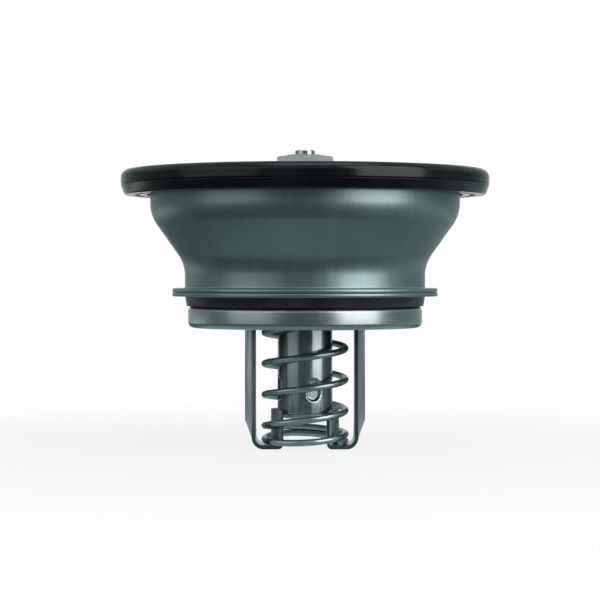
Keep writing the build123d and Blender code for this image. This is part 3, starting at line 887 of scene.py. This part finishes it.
def across_arc(piece, radius, half_turn, height, centre_x, steps):
    """Spins the selected point over an arc that lies level, and selects the whole row."""
    centre = (centre_x, 0, height)
    bpy.ops.mesh.spin(steps=steps, angle=2 * half_turn, center=centre, axis=(0, 0, 1))
    pick_vertices(piece, lambda co: abs(co.z - height) < row_slack)
    bpy.ops.mesh.remove_doubles(threshold=same_place)


leg_sheet = 1.1 * mm
leg_width = 13.5 * mm
leg_outer = 15.8 * mm
leg_edge = leg_outer - leg_sheet / 2
leg_crown = 2.2 * mm
gutter_steps = 18
gutter_ends = 8.5 * mm
gutter_radius = ((leg_width / 2) ** 2 + leg_crown**2) / (2 * leg_crown)
gutter_half_turn = math.asin(leg_width / 2 / gutter_radius)
gutter_centre = leg_edge + leg_crown - gutter_radius
runout_rows = 5
runout_crown = 0.3 * mm
foot_bend = 3.5 * mm
foot_centre = (leg_outer - foot_bend, 0, foot_bend)
bend_rows = 8
capsule_radius = 8.2 * mm
capsule_gap = 0.9 * mm
tab_radius = capsule_radius + capsule_gap + leg_sheet / 2
tab_height = 11.6 * mm
hook_half = 4.0 * mm
hook_end = 21.6 * mm
hook_bend = 0.6 * mm
# A bent row lies a little less true than a straight one, and is never quite squashed flat.
leg_slack = 0.01 * mm
flattest = 0.001
leg_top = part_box("leg_right")[1].z
leg_start = leg_top - leg_sheet / 2
gutter_corner = turned_place(gutter_radius, gutter_half_turn, leg_start, gutter_centre)
leg = start_point("leg_strip_right", gutter_corner)
across_arc(leg, gutter_radius, gutter_half_turn, leg_start, gutter_centre, gutter_steps)
next_row((0, 0, gutter_ends - leg_start))
# The gutter's crown runs out above the foot and through its bend.
crown_left = leg_crown
for row in range(runout_rows):
    next_row((0, 0, (foot_bend - gutter_ends) / runout_rows))
    crown_next = leg_crown + (runout_crown - leg_crown) * (row + 1) / runout_rows
    bpy.ops.transform.resize(value=(crown_next / crown_left, 1, 1), center_override=(leg_edge, 0, 0))
    crown_left = crown_next
for row in range(bend_rows):
    next_row()
    done = math.pi / 2 * row / bend_rows
    bpy.ops.transform.rotate(value=done, orient_axis="Y", center_override=foot_centre)
    crown_next = runout_crown * (1 - (row + 1) / bend_rows)
    share = max(crown_next / crown_left, flattest)
    bpy.ops.transform.resize(value=(share, 1, 1), center_override=(leg_edge, 0, 0))
    crown_left = max(crown_next, row_slack)
    turned = math.pi / 2 * (row + 1) / bend_rows
    bpy.ops.transform.rotate(value=-turned, orient_axis="Y", center_override=foot_centre)


def at_foot_end(co):
    return abs(co.x - foot_centre[0]) < leg_slack and co.z < leg_sheet


def at_hook(co):
    return co.z > leg_top - leg_sheet and abs(co.y) < hook_half


curved_tab(leg, tab_radius, leg_sheet / 2, tab_height, at_foot_end, tab_bend)
pick_edges(leg, at_hook)
hook_start = max(vertex.co.x for vertex in leg.data.vertices if vertex.co.z > leg_top - leg_sheet)
next_row((hook_end - hook_start, 0, 0))
bpy.ops.transform.resize(value=(0, 1, 1), center_override=(hook_end, 0, 0))
pick_edges(leg, lambda co: at_hook(co) and co.x < hook_start + leg_slack)
bpy.ops.mesh.bevel(offset=hook_bend, segments=4, profile=0.5, affect="EDGES")
close_seams(leg)
leg.data.materials.append(frame_steel)
leg.data.materials.append(shaded_cut_edge)
thicken(leg, leg_sheet, broken_edge)
other_leg = turned_copy(leg, "leg_strip_left")
for strip, node in ((leg, "leg_right"), (other_leg, "leg_left")):
    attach(strip, "housing")
    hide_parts(node)

# Return spring: drawn wire wound right-handed. At each end the wire steps over its own start
# and lies on it. It stands on the feet of the legs and pushes up on the cup under the spider.
spring_steel = worn_steel(
    "spring_steel",
    dark=(0.36, 0.43, 0.43),
    light=(0.47, 0.54, 0.54),
    roughness=(0.24, 0.34),
    streaks=(500, 500, 500),
    tooth=0.000004,
    turned=False,
)
wire_radius = 1.0 * mm
coil_radius = 12.1 * mm
cup_sheet = 1.2 * mm
cup_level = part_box("spring_cup")[1].z - cup_sheet
coil_bottom = leg_sheet + wire_radius
coil_top = cup_level - wire_radius
wire_start = -30
wire_end = 2337
# The end coils: degrees of turn from the wire's end, and how far the wire has left its seat in
# mm. The lower one lies on the feet at the sides, and its back is raised a little.
foot_coil = [
    (0, 0), (55, 0.05), (75, 0.5), (90, 0.9), (125, 1.45), (155, 1.55), (190, 0.9), (220, 0.25),
    (255, 0.05), (300, 0.2), (345, 1.1), (390, 2.15), (435, 2.5), (450, 2.87), (485, 3.42),
    (515, 3.52), (530, 3.7), (570, 4.5),
]
cup_coil = [(0, 0), (230, 0.4), (360, 2.05), (410, 2.25)]
# All along the wire: its turn in degrees, and the height of its middle there.
stations = [(wire_start + turn, coil_bottom + rise * mm) for turn, rise in foot_coil]
stations += [(wire_end - turn, coil_top - fall * mm) for turn, fall in reversed(cup_coil)]
degrees_per_point = 7.5


def wire_level(turn):
    """The height of the wire's middle at a turn in degrees."""
    turn = min(max(turn, wire_start), wire_end)
    for (here, low), (there, high) in zip(stations, stations[1:]):
        if turn <= there:
            return low + (high - low) * (turn - here) / (there - here)


wire_points = []
for number in range(round((wire_end - wire_start) / degrees_per_point) + 1):
    turn = wire_start + number * degrees_per_point
    around = [wire_level(turn + offset) for offset in (-20, -10, 0, 10, 20)]
    level = sum(around) / len(around)
    wire_points.append(turned_place(coil_radius, math.radians(turn), level))
wire = bpy.data.curves.new("spring_wire_line", "CURVE")
wire.dimensions = "3D"
wire.bevel_depth = wire_radius
wire.bevel_resolution = 6
wire.use_fill_caps = True
line = wire.splines.new("NURBS")
line.points.add(len(wire_points) - 1)
for point, place in zip(line.points, wire_points):
    point.co = (*place, 1)
line.order_u = 4
line.use_endpoint_u = True
line.resolution_u = 2
spring = bpy.data.objects.new("coil_spring", wire)
bpy.context.collection.objects.link(spring)
bpy.ops.object.select_all(action="DESELECT")
spring.select_set(True)
bpy.context.view_layer.objects.active = spring
bpy.ops.object.convert(target="MESH")
spring = bpy.context.object
bpy.ops.object.mode_set(mode="EDIT")
close_seams(spring)
spring.data.materials.append(spring_steel)
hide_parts("return_spring")
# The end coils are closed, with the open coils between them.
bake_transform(spring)

# Sleeve: a drawn and burnished steel tube. Its wider band shows below the neck seal, and its
# lower edge turns in as a rounded lip.
sleeve_steel = worn_steel(
    "sleeve_steel",
    dark=(0.43, 0.50, 0.495),
    light=(0.53, 0.59, 0.585),
    roughness=(0.24, 0.32),
    streaks=(8, 4500),
    tooth=0.0000015,
)
sleeve_sheet = 1.0 * mm
sleeve_low, sleeve_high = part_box("sleeve")
band_middle = sleeve_high.x - sleeve_sheet / 2
band_foot = sleeve_low.z + sleeve_sheet / 2
tube_middle = tube_radius - sleeve_sheet / 2
band_height = 5.2 * mm
joggle = sleeve_low.z + band_height
joggle_rise = 1.0 * mm
turned_in = 3.0 * mm
sleeve = bent_line(
    "sleeve_tube",
    [
        (band_middle - turned_in, band_foot, 0),
        (band_middle, band_foot, 1.3 * mm),
        (band_middle, joggle, 1.0 * mm),
        (tube_middle, joggle + joggle_rise, 1.0 * mm),
        (tube_middle, sleeve_high.z, 0),
    ],
    closed=False,
)
spin_outline(sleeve, steps=256)
thicken(sleeve, sleeve_sheet, broken_edge)
sleeve.data.materials.append(sleeve_steel)
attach(sleeve, "valve")
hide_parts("sleeve")

# Spider: the pressed steel disc that joins the sleeve to the wax element. Its four windows let
# the coolant up into the sleeve, and a pressed cup under it holds the spring's upper end.
for node in ("spider", "spring_cup"):
    dressed_copy(node, node + "_steel", frame_steel, "valve")

# Capsule: the drawn and polished cup that holds the wax, with painted shade that darkens it
# towards its top. Four oval dimples are pressed into its side, and its collar is crimped over
# the guide.
capsule_metal = worn_steel(
    "capsule_metal",
    dark=(0.38, 0.44, 0.44),
    light=(0.60, 0.66, 0.655),
    roughness=(0.14, 0.24),
    streaks=(10, 150),
    tooth=0.000006,
    top_shade=(24 * mm, 36 * mm),
)
capsule_low, capsule_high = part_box("capsule")
collar_radius = capsule_high.x
collar_rise = 1.5 * mm
collar_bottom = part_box("spider")[0].z + collar_rise
crimp_radius = 7.2 * mm
crimp_sheet = 1.0 * mm
capsule_wall = 1.4 * mm
dimple_rise = 8.6 * mm
dimple_level = capsule_low.z + dimple_rise
dimple_height = 7.2 * mm
dimple_width = 4.9 * mm
dimple_depth = 0.75 * mm
dimple_wall = 0.7 * mm
dimple_count = 4
dimple_turn = math.radians(18)
dimple_rows = 36
dimple_margin = 1.0 * mm
dimple_band = dimple_height + dimple_margin
dimple_levels = [
    dimple_level + (row / dimple_rows - 0.5) * dimple_band for row in range(dimple_rows + 1)
]
capsule = bent_line(
    "capsule_cup",
    [
        (0, capsule_low.z, 0),
        (capsule_radius, capsule_low.z, 1.8 * mm),
        *[(capsule_radius, level, 0) for level in dimple_levels],
        (capsule_radius, collar_bottom, 0),
        (collar_radius, collar_bottom, 0.6 * mm),
        (collar_radius, capsule_high.z, 0.6 * mm),
        (crimp_radius, capsule_high.z, 0.2 * mm),
        (crimp_radius, capsule_high.z - crimp_sheet, 0),
        (collar_radius - crimp_sheet, capsule_high.z - crimp_sheet, 0),
        (collar_radius - crimp_sheet, collar_bottom + crimp_sheet, 0),
        (capsule_radius - capsule_wall, collar_bottom + crimp_sheet, 0),
        (capsule_radius - capsule_wall, capsule_low.z + capsule_wall, 0),
        (0, capsule_low.z + capsule_wall, 0),
    ],
    closed=False,
)
spin_outline(capsule, steps=192)
bpy.ops.object.mode_set(mode="EDIT")


def turn_capsule(angle):
    """Turns the whole cup clockwise, seen from above."""
    bpy.ops.mesh.select_all(action="SELECT")
    bpy.ops.transform.rotate(value=angle, orient_axis="Z", center_override=(0, 0, 0))


def on_dimple(co):
    """Whether a point lies on the flat floor of the dimple that faces +X."""
    straight = max(abs(co.z - dimple_level) - (dimple_height - dimple_width) / 2, 0)
    return co.x > capsule_radius / 2 and math.hypot(co.y, straight) < dimple_width / 2 - dimple_wall


turn_capsule(dimple_turn)
for number in range(dimple_count):
    bpy.ops.mesh.select_mode(type="VERT")
    pick_vertices(capsule, on_dimple)
    bpy.ops.transform.resize(
        value=(0, 1, 1),
        center_override=(capsule_radius - dimple_depth, 0, 0),
        use_proportional_edit=True,
        use_proportional_connected=True,
        proportional_edit_falloff="SMOOTH",
        proportional_size=dimple_wall,
    )
    turn_capsule(2 * math.pi / dimple_count)
turn_capsule(-dimple_turn)
bpy.ops.object.mode_set(mode="OBJECT")
bpy.ops.object.shade_smooth_by_angle(angle=math.radians(50))
capsule.data.materials.append(capsule_metal)
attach(capsule, "valve")
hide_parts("capsule")

# Guide: the turned brass neck of the wax element, which slides in the bush and along the
# pin. The small rubber wiper ring lies in its top, and the boot, disc and wax are sealed inside.
dressed_copy("guide_body", "guide_body_brass", guide_brass, "valve")
for node in ("wiper_ring", "rubber_boot"):
    dressed_copy(node, node + "_rubber", lip_rubber, "valve")


def plain_solid(name, colour, gloss):
    """A matt solid, a little cloudy in its colour and gloss."""
    cloud_scale = 400
    darkest_share = 0.8
    dulled_by = 0.15
    material, tree, shader = new_material(name)
    cloud = noise_on(tree, plain_place(tree, (cloud_scale, cloud_scale, cloud_scale)))
    darker = tuple(c * darkest_share for c in colour)
    tree.links.new(ramp_between(tree, cloud, darker, colour), shader.inputs["Base Color"])
    tree.links.new(ramp_between(tree, cloud, gloss, gloss + dulled_by), shader.inputs["Roughness"])
    return material


disc_plastic = plain_solid("disc_plastic", (0.8, 0.8, 0.76), 0.35)
dressed_copy("backup_disc", "backup_disc_plastic", disc_plastic, "valve")
wax_fill = plain_solid("wax_fill", (0.62, 0.48, 0.26), 0.5)
dressed_copy("wax_charge", "wax_charge_fill", wax_fill, "valve")
